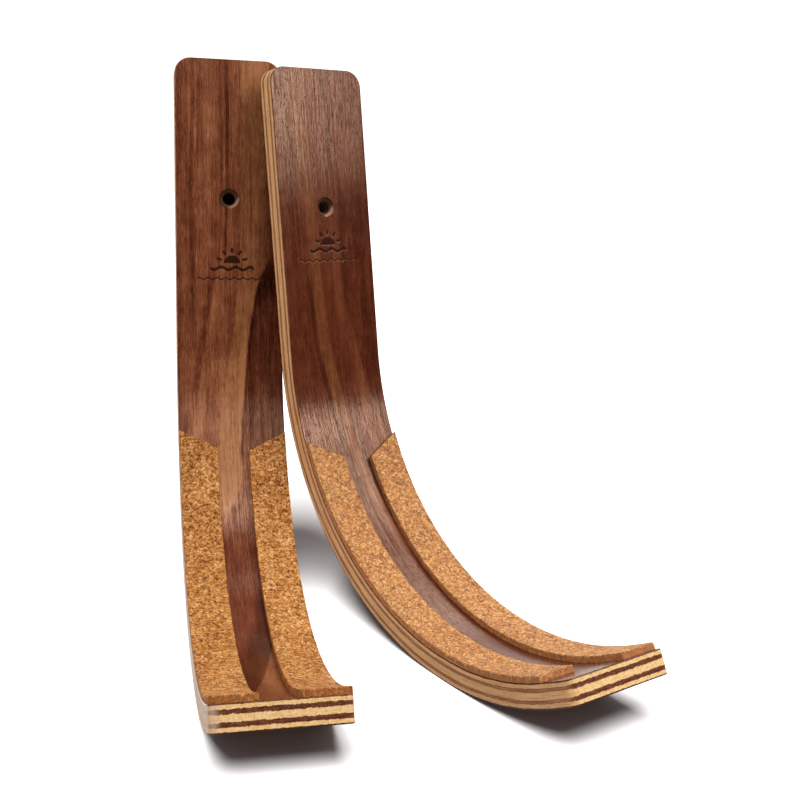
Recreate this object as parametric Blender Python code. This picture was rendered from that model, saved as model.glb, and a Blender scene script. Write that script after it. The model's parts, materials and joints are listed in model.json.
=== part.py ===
"""A pair of J-shaped wall hooks for a paddleboard, bent from laminated plywood and lined with cork.

Each hook is one 12 mm plywood strip: a flat upright that is screwed to the wall, a long round
bend that cradles the board, and a short straight tip. The strip is pressed from seven sheets,
walnut veneer on both faces and light and dark plies between, so each sheet is an object here.
Two cork strips are glued inside the bend, one along each edge, with a bare channel between.

The hooks are two loose pieces. They stand as they are displayed: leaning back a little, on the
lowest line of their bends, with the right hook turned away from the left one.

Units are metres, +Z is up, +X is to the right along the left hook's width and +Y goes back, into
the wall. The origin is the left hook's wall point, on the flat back of its upright.
"""

import math

import bmesh
import bpy
from mathutils import Matrix, Vector

MM = 0.001

# The plywood strip. Lengths along it are measured on its front face, down from its top edge.
WIDTH = 60 * MM
UPRIGHT = 162 * MM
BEND_RADIUS = 150 * MM
BEND_ANGLE = math.radians(107.3)
TIP = 16 * MM
TOP_CORNER_RADIUS = 9 * MM
TIP_LEFT_RADIUS = 5 * MM
TIP_RIGHT_RADIUS = 1.5 * MM

# The sheets of the lamination, from the front face to the back, with their nominal thickness.
SHEETS = (
    ("face_veneer", 0.6 * MM, "walnut"),
    ("front_ply", 2.1 * MM, "light_ply"),
    ("front_crossband", 1.4 * MM, "dark_ply"),
    ("core_ply", 3.8 * MM, "light_ply"),
    ("back_crossband", 1.4 * MM, "dark_ply"),
    ("back_ply", 2.1 * MM, "light_ply"),
    ("back_veneer", 0.6 * MM, "walnut"),
)
THICKNESS = sum(sheet[1] for sheet in SHEETS)
GLUE_LINE = 0.3 * MM

# The screw hole in the upright, countersunk at 90 degrees from the front.
HOLE_FROM_TOP = 78 * MM
HOLE_RADIUS = 3.5 * MM
COUNTERSINK_RADIUS = 5.7 * MM
CUTTER_OVERRUN = 1.5 * MM

# The cork strips. Each is laid by hand: where its outer corner starts, counted from the top, how
# much lower its inner corner is, and how far it ends from the tip.
CORK_THICKNESS = 3.2 * MM
CORK_WIDTH = 21.2 * MM
CORK_POINT_WIDTH = 0.4 * MM
CORK_STRIPS = {
    ("left", "left"): (210.5 * MM, 10.8 * MM, 1.0 * MM),
    ("left", "right"): (212.7 * MM, 10.9 * MM, 1.0 * MM),
    ("right", "left"): (211.7 * MM, 11.3 * MM, 18.2 * MM),
    ("right", "right"): (212.8 * MM, 12.6 * MM, 3.9 * MM),
}

# How the hooks stand: their lean away from the viewer, how far the right one is turned about the
# vertical, and the step from the left hook's resting point to the right hook's.
WALL_POINT_FROM_TOP = 108 * MM
LEFT_LEAN = math.radians(9.9)
RIGHT_LEAN = math.radians(10.8)
RIGHT_TURN = math.radians(22.7)
RESTING_STEP = Vector((117.0 * MM, 2.3 * MM, 0.0))

# How finely round shapes are cut into flats.
BEND_STEPS = 27
CORNER_STEPS = 5
HOLE_SIDES = 24

# Colour, linear RGB, and roughness of each wood.
FINISHES = {
    "walnut": ((0.11, 0.037, 0.016), 0.35),
    "light_ply": ((0.64, 0.42, 0.20), 0.55),
    "dark_ply": ((0.12, 0.035, 0.014), 0.6),
    "cork": ((0.50, 0.22, 0.065), 0.85),
}

LENGTH = UPRIGHT + BEND_RADIUS * BEND_ANGLE + TIP
RIGHT_EDGE = WIDTH / 2
LEFT_EDGE = -WIDTH / 2


def clear_scene():
    for obj in list(bpy.data.objects):
        bpy.data.objects.remove(obj, do_unlink=True)


def strip_point(across, along, depth):
    """A point of the bent strip, in the hook's own frame.

    across runs from the strip's middle to its right, along runs from the top edge down the front
    face and round the bend, and depth goes from the front face into the wood.
    """
    bend_start = WALL_POINT_FROM_TOP - UPRIGHT
    centre_y = -THICKNESS - BEND_RADIUS
    if along <= UPRIGHT:
        return Vector((across, depth - THICKNESS, WALL_POINT_FROM_TOP - along))
    angle = min((along - UPRIGHT) / BEND_RADIUS, BEND_ANGLE)
    radius = BEND_RADIUS + depth
    past_bend = along - UPRIGHT - BEND_RADIUS * angle
    y = centre_y + radius * math.cos(angle) - past_bend * math.sin(angle)
    z = bend_start - radius * math.sin(angle) - past_bend * math.cos(angle)
    return Vector((across, y, z))


def half_width(along, tip_radius):
    """Half the strip's width, which its rounded corners narrow at both ends."""
    for from_end, radius in ((along, TOP_CORNER_RADIUS), (LENGTH - along, tip_radius)):
        if from_end < radius:
            inset = radius - math.sqrt(max(radius**2 - (radius - from_end) ** 2, 0.0))
            return WIDTH / 2 - inset
    return WIDTH / 2


def corner_stations(radius):
    """Distances from an end that cut a rounded corner of this radius into even steps."""
    angles = [math.pi / 2 * step / CORNER_STEPS for step in range(CORNER_STEPS + 1)]
    return [radius * (1 - math.cos(angle)) for angle in angles]


def stations(start, end):
    """The places between start and end where a row of points crosses the strip."""
    bend_step = BEND_RADIUS * BEND_ANGLE / BEND_STEPS
    found = [start, end]
    found += corner_stations(TOP_CORNER_RADIUS)
    found += [LENGTH - distance for distance in corner_stations(TIP_LEFT_RADIUS)]
    found += [UPRIGHT + bend_step * step for step in range(BEND_STEPS + 1)]
    closest = 0.05 * MM
    rows = []
    for along in sorted(found):
        if start <= along <= end and (not rows or along - rows[-1] > closest):
            rows.append(along)
    return rows


def bent_solid(name, rows, front, back):
    """A mesh of the strip between two depths. Each row is (along, left edge, right edge)."""
    mesh = bmesh.new()
    rings = []
    for along, left, right in rows:
        corners = ((left, front), (right, front), (right, back), (left, back))
        rings.append([mesh.verts.new(strip_point(across, along, depth)) for across, depth in corners])
    for ring, following in zip(rings, rings[1:]):
        for side in range(4):
            after = (side + 1) % 4
            mesh.faces.new((ring[side], ring[after], following[after], following[side]))
    mesh.faces.new(rings[0])
    mesh.faces.new(rings[-1])
    bmesh.ops.recalc_face_normals(mesh, faces=mesh.faces)
    data = bpy.data.meshes.new(name)
    mesh.to_mesh(data)
    mesh.free()
    return data


def screw_cutter(name):
    """The room of a countersunk screw: a cone at the front face that narrows to the shank's hole."""
    front = -THICKNESS
    profile = (
        (COUNTERSINK_RADIUS + CUTTER_OVERRUN, front - CUTTER_OVERRUN),
        (HOLE_RADIUS, front + COUNTERSINK_RADIUS - HOLE_RADIUS),
        (HOLE_RADIUS, CUTTER_OVERRUN),
    )
    mesh = bmesh.new()
    rings = []
    for radius, y in profile:
        ring = []
        for side in range(HOLE_SIDES):
            angle = 2 * math.pi * side / HOLE_SIDES
            ring.append(mesh.verts.new((radius * math.cos(angle), y, radius * math.sin(angle))))
        rings.append(ring)
    for ring, following in zip(rings, rings[1:]):
        for side in range(HOLE_SIDES):
            after = (side + 1) % HOLE_SIDES
            mesh.faces.new((ring[side], ring[after], following[after], following[side]))
    mesh.faces.new(rings[0])
    mesh.faces.new(rings[-1])
    bmesh.ops.recalc_face_normals(mesh, faces=mesh.faces)
    data = bpy.data.meshes.new(name)
    mesh.to_mesh(data)
    mesh.free()
    return data


def add_object(name, data, parent):
    obj = bpy.data.objects.new(name, data)
    bpy.context.scene.collection.objects.link(obj)
    obj.parent = parent
    return obj


def give_finish(obj, finish):
    """Its own Principled material, and smooth shading with crisp edges."""
    colour, roughness = FINISHES[finish]
    material = bpy.data.materials.new(f"{obj.name}_{finish}")
    material.use_nodes = True
    shader = material.node_tree.nodes["Principled BSDF"]
    shader.inputs["Base Color"].default_value = (*colour, 1.0)
    shader.inputs["Roughness"].default_value = roughness
    shader.inputs["Metallic"].default_value = 0.0
    obj.data.materials.append(material)
    obj.data.shade_smooth()
    obj.data.set_sharp_from_angle(angle=math.radians(30))


def add_sheets(side, frame, cutter):
    """The seven sheets of one hook, a glue line apart, each with the screw's hole."""
    rows = []
    for along in stations(0.0, LENGTH):
        rows.append((along, -half_width(along, TIP_LEFT_RADIUS), half_width(along, TIP_RIGHT_RADIUS)))
    depth = 0.0
    for sheet, thickness, finish in SHEETS:
        outer = GLUE_LINE / 2 if depth > 0 else 0.0
        is_last = sheet == SHEETS[-1][0]
        inner = 0.0 if is_last else GLUE_LINE / 2
        name = f"{side}_{sheet}"
        data = bent_solid(name, rows, depth + outer, depth + thickness - inner)
        obj = add_object(name, data, frame)
        hole = obj.modifiers.new("screw_hole", "BOOLEAN")
        hole.operation = "DIFFERENCE"
        hole.solver = "EXACT"
        hole.object = cutter
        give_finish(obj, finish)
        depth += thickness


def cork_rows(start, drop, end, on_left):
    """Rows of a cork strip: a slanted top, then an even width along the strip's edge."""
    rows = []
    for along in stations(start, end):
        outer = half_width(along, TIP_LEFT_RADIUS if on_left else TIP_RIGHT_RADIUS)
        share = min((along - start) / drop, 1.0)
        inner = RIGHT_EDGE - max(CORK_WIDTH * share, CORK_POINT_WIDTH)
        rows.append((along, -outer, -inner) if on_left else (along, inner, outer))
    return rows


def add_cork(side, frame):
    for edge in ("left", "right"):
        start, drop, from_tip = CORK_STRIPS[side, edge]
        rows = cork_rows(start, drop, LENGTH - from_tip, edge == "left")
        name = f"{side}_cork_strip_{edge}"
        data = bent_solid(name, rows, -CORK_THICKNESS, -GLUE_LINE)
        give_finish(add_object(name, data, frame), "cork")


def resting_point(lean, turn):
    """The lowest point of a standing hook, from the hook's own origin, in world directions."""
    rotation = Matrix.Rotation(turn, 3, "Z") @ Matrix.Rotation(-lean, 3, "X")
    centre = Vector((0.0, -THICKNESS - BEND_RADIUS, WALL_POINT_FROM_TOP - UPRIGHT))
    return rotation @ centre - Vector((0.0, 0.0, BEND_RADIUS + THICKNESS))


def add_hook(side, location, lean, turn):
    """One hook, on an empty at its wall point: its Y axis goes into the wall, its Z axis up."""
    frame = add_object(f"{side}_hook", None, None)
    frame.location = location
    frame.rotation_euler = (-lean, 0.0, turn)
    cutter = add_object(f"{side}_screw_cutter", screw_cutter(f"{side}_screw_cutter"), frame)
    cutter.location = (0.0, 0.0, WALL_POINT_FROM_TOP - HOLE_FROM_TOP)
    cutter.hide_render = True
    cutter.display_type = "WIRE"
    add_sheets(side, frame, cutter)
    add_cork(side, frame)


def main():
    clear_scene()
    add_hook("left", Vector((0.0, 0.0, 0.0)), LEFT_LEAN, 0.0)
    left_rest = resting_point(LEFT_LEAN, 0.0)
    right_rest = resting_point(RIGHT_LEAN, RIGHT_TURN)
    add_hook("right", left_rest + RESTING_STEP - right_rest, RIGHT_LEAN, RIGHT_TURN)
    bpy.context.view_layer.update()


main()
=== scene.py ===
"""The looks of a pair of bent plywood wall hooks for a paddleboard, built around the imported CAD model.

Every sheet of the lamination and every cork strip is made again as a fine mesh in the place of its
CAD node. Shapes are laid out on the unbent strip in millimetres, as (across, along, depth): across
from the strip's middle to its right, along from the top edge down the front face and round the
bend, and depth from the front face into the wood. The materials read the same coordinates, which
each mesh carries in its strip_mm attribute, so that grain and ply lines follow the bend.
"""

import json
import math

import bpy
import numpy as np
from mathutils import Euler, Matrix, Vector


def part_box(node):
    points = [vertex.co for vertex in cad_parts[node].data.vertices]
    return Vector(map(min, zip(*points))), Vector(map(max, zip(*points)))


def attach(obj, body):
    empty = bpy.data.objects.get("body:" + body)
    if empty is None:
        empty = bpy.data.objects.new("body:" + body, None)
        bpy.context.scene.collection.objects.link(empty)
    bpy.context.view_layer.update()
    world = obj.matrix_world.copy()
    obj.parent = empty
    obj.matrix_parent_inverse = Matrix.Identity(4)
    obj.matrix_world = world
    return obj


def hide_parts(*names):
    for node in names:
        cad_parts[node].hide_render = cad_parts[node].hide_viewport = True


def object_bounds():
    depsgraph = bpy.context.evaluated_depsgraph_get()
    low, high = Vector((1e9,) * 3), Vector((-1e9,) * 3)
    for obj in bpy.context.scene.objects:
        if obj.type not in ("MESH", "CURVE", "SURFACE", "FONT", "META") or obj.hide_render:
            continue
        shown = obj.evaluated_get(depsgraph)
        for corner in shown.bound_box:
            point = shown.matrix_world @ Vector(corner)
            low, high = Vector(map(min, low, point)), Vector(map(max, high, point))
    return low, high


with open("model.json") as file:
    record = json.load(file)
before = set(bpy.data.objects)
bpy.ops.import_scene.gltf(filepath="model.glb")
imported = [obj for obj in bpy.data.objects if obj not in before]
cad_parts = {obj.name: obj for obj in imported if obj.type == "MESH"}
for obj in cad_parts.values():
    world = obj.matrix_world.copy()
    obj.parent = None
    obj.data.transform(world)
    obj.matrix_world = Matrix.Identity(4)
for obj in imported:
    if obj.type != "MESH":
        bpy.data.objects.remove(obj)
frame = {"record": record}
cad_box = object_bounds()

MM = 0.001

# The strip of both hooks, as in the CAD model, in millimetres.
WIDTH = round((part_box("left_core_ply")[1].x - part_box("left_core_ply")[0].x) / MM, 2)
UPRIGHT = 162.0
BEND_RADIUS = 150.0
BEND_ANGLE = math.radians(107.3)
TIP = 16.0
LENGTH = UPRIGHT + BEND_RADIUS * BEND_ANGLE + TIP
TOP_CORNER_RADIUS = 9.0
TIP_CORNER_RADIUS = {"left": 5.0, "right": 1.5}
WALL_POINT_FROM_TOP = 108.0
SHEETS = (
    ("face_veneer", 0.6),
    ("front_ply", 2.1),
    ("front_crossband", 1.4),
    ("core_ply", 3.8),
    ("back_crossband", 1.4),
    ("back_ply", 2.1),
    ("back_veneer", 0.6),
)
THICKNESS = sum(thickness for _, thickness in SHEETS)
EASED_EDGE = 0.45
CROSSBAND_RECESS = 0.05

# The countersunk hole, and the depth from which torn fibres narrow its bore by a share of the rest.
# HOLE_RINGS are the places of the mesh's rings between a square patch's border and the rim.
HOLE_FROM_TOP = 78.0
HOLE_RADIUS = 3.5
COUNTERSINK_RADIUS = 5.7
TEARS_FROM = 9.0
TEARS_NARROW = 0.24
RIM_TORN = 0.16
HOLE_RINGS = (0.4, 0.7, 0.88, 0.96, 1.0)

# Each cork strip: where its outer corner starts, how much lower its inner corner is, and how far
# it ends from the tip.
CORK_THICKNESS = 3.2
CORK_WIDTH = 21.2
CORK_STRIPS = {
    ("left", "left"): (210.5, 10.8, 1.0),
    ("left", "right"): (212.7, 10.9, 1.0),
    ("right", "left"): (211.7, 11.3, 18.2),
    ("right", "right"): (212.8, 12.6, 3.9),
}

# The engraved pictogram: its horizon's distance from the top of each hook and from the middle, how
# far it reaches above and below the horizon and to each side, and its own measures. A wave is its
# height over the horizon, its reach to each side, its swing, its length and half its thickness.
MARK_FROM_TOP = {"left": 115.0, "right": 100.0}
MARK_ASIDE = {"left": 1.4, "right": 0.0}
MARK_DEPTH = 0.08
MARK_ABOVE = 10.0
MARK_BELOW = 11.0
MARK_REACH = 22.5
MARK_SOFT_EDGE = 0.14
SUN_RADIUS = 4.9
SUN_OVER_HORIZON = 0.3
RAY_DEGREES = (20, 55, 90, 125, 160)
RAY_MIDDLE = 7.7
RAY_HALF_LENGTH = 1.5
RAY_HALF_WIDTH = 0.8
WAVES = ((-2.6, 12.5, 0.8, 8.3, 0.95), (-8.4, 20.0, 0.55, 5.0, 0.48))

# How far apart the grid lines of a sheet and of a cork strip are, in millimetres.
ROW_STEP = 2.4
COLUMN_STEP = 2.0
EDGE_COLUMN_STEP = 1.6
PLAIN_REACH = 16.0
HOLE_PATCH = 8.0
HOLE_STEP = 1.0
MARK_ROW_STEP = 0.25
MARK_COLUMN_STEP = 0.3
CORK_STEP = 0.5

# The cork's crumbs: how wide the granules on the cut sides and on the top are, how high they stand,
# and how deep the seams between them and the pits in the top are.
SIDE_GRANULE = 1.5
SIDE_CRUMB = 0.22
SIDE_SEAM = 0.16
TOP_GRANULE = 1.7
TOP_FINE_GRANULE = 0.9
TOP_CRUMB = 0.26
TOP_FINE_CRUMB = 0.14
TOP_SEAM = 0.14
TOP_PIT = 0.35


# ---------------------------------------------------------------- the bent strip


def wall_placement(side):
    """The hook's own frame in the row: its Y axis goes into the wall and its Z axis up."""
    mount = next(m for m in frame["record"]["mounts"] if m["name"] == f"{side}_wall_face")
    axis = Vector(mount["axis"])
    turn = math.atan2(-axis.x, axis.y)
    lean = math.asin(-axis.z)
    return Matrix.LocRotScale(Vector(mount["pos_m"]), Euler((-lean, 0.0, turn)), None)


def bent(strip, placement):
    """Row positions in metres of an array of (across, along, depth) points."""
    across, along, depth = strip.T
    angle = np.clip((along - UPRIGHT) / BEND_RADIUS, 0.0, BEND_ANGLE)
    before = np.minimum(along, UPRIGHT)
    past = np.maximum(along - UPRIGHT - BEND_RADIUS * BEND_ANGLE, 0.0)
    radius = BEND_RADIUS + depth
    y = -THICKNESS - BEND_RADIUS + radius * np.cos(angle) - past * np.sin(angle)
    z = WALL_POINT_FROM_TOP - before - radius * np.sin(angle) - past * np.cos(angle)
    own = np.stack((across, y, z, np.full_like(y, 1.0 / MM)), axis=1) * MM
    return (own @ np.array(placement).T)[:, :3]


def half_width(along, edge):
    """From the middle to one edge of the strip, which its rounded corners narrow at both ends."""
    half = np.full_like(along, WIDTH / 2)
    for from_end, radius in ((along, TOP_CORNER_RADIUS), (LENGTH - along, TIP_CORNER_RADIUS[edge])):
        short = np.clip(radius - from_end, 0.0, radius)
        half -= radius - np.sqrt(radius**2 - short**2)
    return half


def hole_radius(depth):
    """The countersink narrows to the bore, which torn fibres narrow again near the back."""
    return max(HOLE_RADIUS, COUNTERSINK_RADIUS - depth) - TEARS_NARROW * max(depth - TEARS_FROM, 0.0)


# ---------------------------------------------------------------- random patterns


def hashed(cells, seed):
    """Three even random numbers between 0 and 1 for each row of whole numbers."""
    mixed = (cells @ np.array([73856093, 19349663, 83492791]) + seed * 7919) & 0xFFFFFFFF
    found = []
    for _ in range(3):
        mixed = ((mixed ^ (mixed >> 15)) * 2246822519 + 3266489917) & 0xFFFFFFFF
        mixed ^= mixed >> 13
        found.append((mixed & 0xFFFFFF) / 0xFFFFFF)
    return np.stack(found, axis=1)


def granules(points, size, seed):
    """For each point its granule's random value, and how near it is to the granule's border."""
    places = points / size
    home = np.floor(places).astype(np.int64)
    first = np.full(len(points), 9.0)
    second = np.full(len(points), 9.0)
    value = np.zeros(len(points))
    for step in np.ndindex(3, 3, 3):
        cells = home + np.array(step) - 1
        random = hashed(cells, seed)
        distance = np.linalg.norm(cells + random - places, axis=1)
        nearer = distance < first
        second = np.where(nearer, first, np.minimum(second, distance))
        value = np.where(nearer, random[:, 0], value)
        first = np.where(nearer, distance, first)
    return value, second - first


def wobble(places, size, seed):
    """Smooth noise between -1 and 1 along one coordinate."""
    cells = np.floor(places / size).astype(np.int64)
    share = places / size - cells
    share = share * share * (3 - 2 * share)
    ends = []
    for step in (0, 1):
        three = np.stack((cells + step, np.zeros_like(cells), np.zeros_like(cells)), axis=1)
        ends.append(hashed(three, seed)[:, 0])
    return 2 * (ends[0] * (1 - share) + ends[1] * share) - 1


# ---------------------------------------------------------------- closed slabs


def outline_of(rows, columns):
    """Row and column numbers of a grid's border, clockwise as seen from the front."""
    top = [(0, j) for j in range(columns)]
    right = [(i, columns - 1) for i in range(1, rows)]
    tip = [(rows - 1, j) for j in range(columns - 2, -1, -1)]
    left = [(i, 0) for i in range(rows - 2, 0, -1)]
    return np.array(top + right + tip + left).T


def outward(loop):
    """Unit directions that point out of a clockwise loop of (across, along) points."""
    ahead = np.roll(loop, -1, axis=0) - np.roll(loop, 1, axis=0)
    normal = np.stack((ahead[:, 1], -ahead[:, 0]), axis=1)
    return normal / np.linalg.norm(normal, axis=1)[:, None]


class Slab:
    """A closed body between a front grid and a back grid, with its points in strip coordinates."""

    def __init__(self):
        self.points = []
        self.end_share = []
        self.faces = []
        self.count = 0

    def add(self, flat, depth, end_share=0.0):
        """Adds (across, along) points at one depth and gives their numbers."""
        size = len(flat)
        depths = np.broadcast_to(depth, (size,))
        self.points.append(np.column_stack((flat, depths)))
        self.end_share.append(np.broadcast_to(end_share, (size,)))
        self.count += size
        return np.arange(self.count - size, self.count)

    def quads(self, *corners):
        self.faces.append(np.stack([np.ravel(corner) for corner in corners], axis=1))

    def wall(self, ring, following, inward=False):
        """Faces between two loops, the second of them deeper in the wood."""
        after, following_after = np.roll(ring, -1), np.roll(following, -1)
        if inward:
            self.quads(ring, following, following_after, after)
        else:
            self.quads(ring, after, following_after, following)

    def grid(self, flat, depth, border, patch, ease, front):
        """One face. border is its outline's points, and patch the cells that a hole takes out."""
        rows, columns = flat.shape[:2]
        outline = outline_of(rows, columns)
        numbers = np.full((rows, columns), -1)
        normals = outward(flat[outline[0], outline[1]])
        numbers[outline[0], outline[1]] = self.add(border, depth, normals[:, 1] ** 2 * ease)
        kept = numbers < 0
        taken = np.zeros((rows - 1, columns - 1), bool)
        if patch:
            top, low, left, right = patch
            kept[top + 1 : low, left + 1 : right] = False
            taken[top:low, left:right] = True
        numbers[kept] = self.add(flat[kept], depth)
        cells = ~taken
        a, b = numbers[:-1, :-1][cells], numbers[:-1, 1:][cells]
        c, d = numbers[1:, 1:][cells], numbers[1:, :-1][cells]
        self.quads(*((a, d, c, b) if front else (a, b, c, d)))
        return numbers

    def around_hole(self, numbers, flat, patch, depth, radius, front):
        """Rings from the patch's square border to the hole's rim.

        Gives the rim's numbers and the directions of its points from the hole's middle.
        """
        top, low, left, right = patch
        size = (low - top + 1, right - left + 1)
        outline = outline_of(*size)
        outer = numbers[top : low + 1, left : right + 1][outline[0], outline[1]]
        square = flat[top : low + 1, left : right + 1][outline[0], outline[1]]
        away = square - np.array([0.0, HOLE_FROM_TOP])
        direction = away / np.linalg.norm(away, axis=1)[:, None]
        rim = direction * np.reshape(radius, (-1, 1)) + np.array([0.0, HOLE_FROM_TOP])
        for share in HOLE_RINGS:
            inner = self.add(square + (rim - square) * share, depth)
            after, inner_after = np.roll(outer, -1), np.roll(inner, -1)
            self.quads(*((outer, inner, inner_after, after) if front else (outer, after, inner_after, inner)))
            outer = inner
        return inner, direction

    def object(self, name, placement):
        """The mesh object, with its strip coordinates and end shares as attributes."""
        strip = np.concatenate(self.points)
        mesh = bpy.data.meshes.new(name)
        mesh.from_pydata(bent(strip, placement).tolist(), [], np.concatenate(self.faces).tolist())
        places = mesh.attributes.new("strip_mm", "FLOAT_VECTOR", "POINT")
        places.data.foreach_set("vector", strip.astype(np.float32).ravel())
        ends = mesh.attributes.new("end_share", "FLOAT", "POINT")
        ends.data.foreach_set("value", np.concatenate(self.end_share).astype(np.float32))
        mesh.shade_smooth()
        mesh.set_sharp_from_angle(angle=math.radians(38))
        obj = bpy.data.objects.new(name, mesh)
        bpy.context.scene.collection.objects.link(obj)
        return obj


def spaced(start, end, step):
    """Even steps from start up to, but without, end."""
    return np.linspace(start, end, max(1, round((end - start) / step)), endpoint=False)


def strip_grid(fine_rows, fine_half):
    """The whole strip's grid of (across, along) points, finer over the stretch of an engraving.

    It comes with the rows and columns between which the hole's patch lies.
    """
    theta = np.linspace(0.0, math.pi / 2, 9)
    top = TOP_CORNER_RADIUS * (1 - np.cos(theta))
    tip = LENGTH - TIP_CORNER_RADIUS["left"] * (1 - np.cos(theta[::-1]))
    patch = (HOLE_FROM_TOP - HOLE_PATCH, HOLE_FROM_TOP + HOLE_PATCH)
    runs = [spaced(top[-1], patch[0], ROW_STEP), spaced(*patch, HOLE_STEP)]
    if fine_rows:
        runs += [spaced(patch[1], fine_rows[0], ROW_STEP), spaced(*fine_rows, MARK_ROW_STEP)]
    last = fine_rows[1] if fine_rows else patch[1]
    runs.append(spaced(last, tip[0], ROW_STEP))
    along = np.concatenate([top[:-1], *runs, tip])
    outer = spaced(-WIDTH / 2, -fine_half, EDGE_COLUMN_STEP)
    beside = spaced(-fine_half, -HOLE_PATCH, MARK_COLUMN_STEP if fine_rows else COLUMN_STEP)
    middle = spaced(-HOLE_PATCH, HOLE_PATCH, MARK_COLUMN_STEP if fine_rows else HOLE_STEP)
    across = np.concatenate([outer, beside, middle, -beside[::-1], -outer[::-1]])
    share = across / (WIDTH / 2)
    reach = np.where(share < 0, half_width(along, "left")[:, None], half_width(along, "right")[:, None])
    flat = np.stack(np.broadcast_arrays(reach * share, along[:, None]), axis=2)
    rows = [int(np.argmin(abs(along - place))) for place in patch]
    columns = [int(np.argmin(abs(across - place))) for place in (-HOLE_PATCH, HOLE_PATCH)]
    return flat, (*rows, *columns)


def veneer_rings(front, back, front_eased):
    """Depth and inset of the rings of an outer sheet, round at its outer edge."""
    turns = np.linspace(0.0, math.pi / 2, 5)
    rings = [(EASED_EDGE * (1 - math.cos(t)), EASED_EDGE * (1 - math.sin(t))) for t in turns]
    if front_eased:
        return [(front + deep, inset) for deep, inset in rings] + [(back, 0.0)]
    return [(front, 0.0)] + [(back - deep, inset) for deep, inset in rings[::-1]]


def sheet_slab(rings, grid, patch, torn=0.0):
    """One sheet of the lamination with the screw hole through it, whose front rim may be torn."""
    slab = Slab()
    outline = outline_of(*grid.shape[:2])
    border = grid[outline[0], outline[1]]
    normals = outward(border)
    loops, rims = [], []
    for number, (depth, inset) in enumerate(rings):
        points = border - normals * inset
        if number in (0, len(rings) - 1):
            front = number == 0
            numbers = slab.grid(grid, depth, points, patch, 1.0, front)
            loops.append(numbers[outline[0], outline[1]])
            sides = 2 * (patch[1] - patch[0] + patch[3] - patch[2])
            radius = np.full(sides, hole_radius(depth))
            if front and torn:
                radius += torn * wobble(np.arange(sides), 2.0, 5) + torn * wobble(np.arange(sides), 7.0, 9)
            rim, direction = slab.around_hole(numbers, grid, patch, depth, radius, front)
            rims.append((depth, rim))
        else:
            loops.append(slab.add(points, depth, normals[:, 1] ** 2))
    for ring, following in zip(loops, loops[1:]):
        slab.wall(ring, following)
    (front_depth, front_rim), (back_depth, back_rim) = rims
    narrowing_ends = COUNTERSINK_RADIUS - HOLE_RADIUS
    rim = front_rim
    if front_depth < narrowing_ends < back_depth:
        points = direction * HOLE_RADIUS + np.array([0.0, HOLE_FROM_TOP])
        between = slab.add(points, narrowing_ends, direction[:, 1] ** 2)
        slab.wall(rim, between, inward=True)
        rim = between
    slab.wall(rim, back_rim, inward=True)
    return slab


# ---------------------------------------------------------------- the engraving


def mark_cover(across, along, horizon):
    """How far the pictogram covers a point, 0 to 1: half a sun with rays, over two flat waves."""
    up = horizon - along

    def inside(distance):
        return np.clip(0.5 - distance / (2 * MARK_SOFT_EDGE), 0.0, 1.0)

    shapes = [inside(np.maximum(np.hypot(across, up) - SUN_RADIUS, SUN_OVER_HORIZON - up))]
    for ray in np.radians(RAY_DEGREES):
        along_ray = across * math.cos(ray) + up * math.sin(ray)
        beside = abs(across * math.sin(ray) - up * math.cos(ray))
        past_end = abs(along_ray - RAY_MIDDLE) - RAY_HALF_LENGTH
        shapes.append(inside(np.maximum(beside - RAY_HALF_WIDTH, past_end)))
    for height, reach, swing, length, half in WAVES:
        crest = height + swing * np.sin(2 * math.pi * across / length)
        shapes.append(inside(np.maximum(abs(up - crest) - half, abs(across) - reach)))
    return np.max(shapes, axis=0)


# ---------------------------------------------------------------- node helper


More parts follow.
